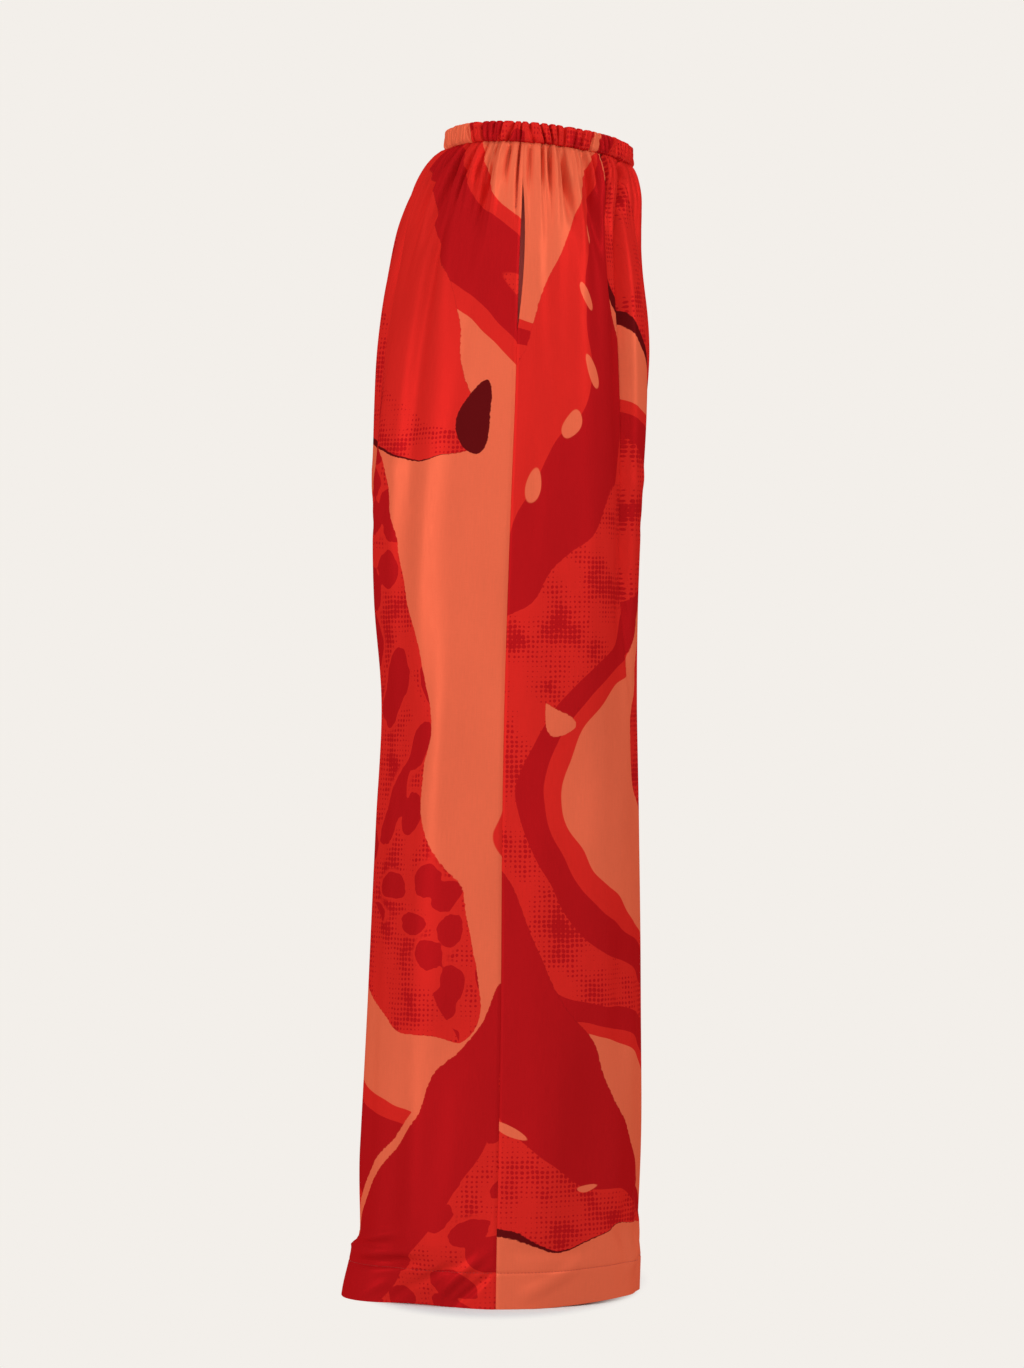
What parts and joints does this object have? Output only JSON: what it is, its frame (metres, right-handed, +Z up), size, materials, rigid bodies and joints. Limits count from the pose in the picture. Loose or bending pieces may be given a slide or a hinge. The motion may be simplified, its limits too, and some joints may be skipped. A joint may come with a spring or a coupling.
{
  "type": "palazzo pants",
  "caption": "Wide straight-legged trousers with a gathered elastic waistband, side-seam pockets and turned hems.",
  "frame": {"origin": "centre of the waistband at its mid-height, where the wearer's waist holds it", "axes": "+Z up, the front faces -Y, the wearer's left is +X"},
  "size_m": [0.4451, 0.2907, 1.106],
  "materials": {
    "front_satin": "printed satin",
    "back_satin": "printed satin",
    "waistband_satin": "gathered printed satin",
    "pocket_satin": "printed satin"
  },
  "bodies": {
    "root": {"waistband": "waistband_satin", "front_right": "front_satin", "front_left": "front_satin", "back_right": "back_satin", "back_left": "back_satin", "pocket_right": "pocket_satin", "pocket_left": "pocket_satin"}
  },
  "joints": []
}
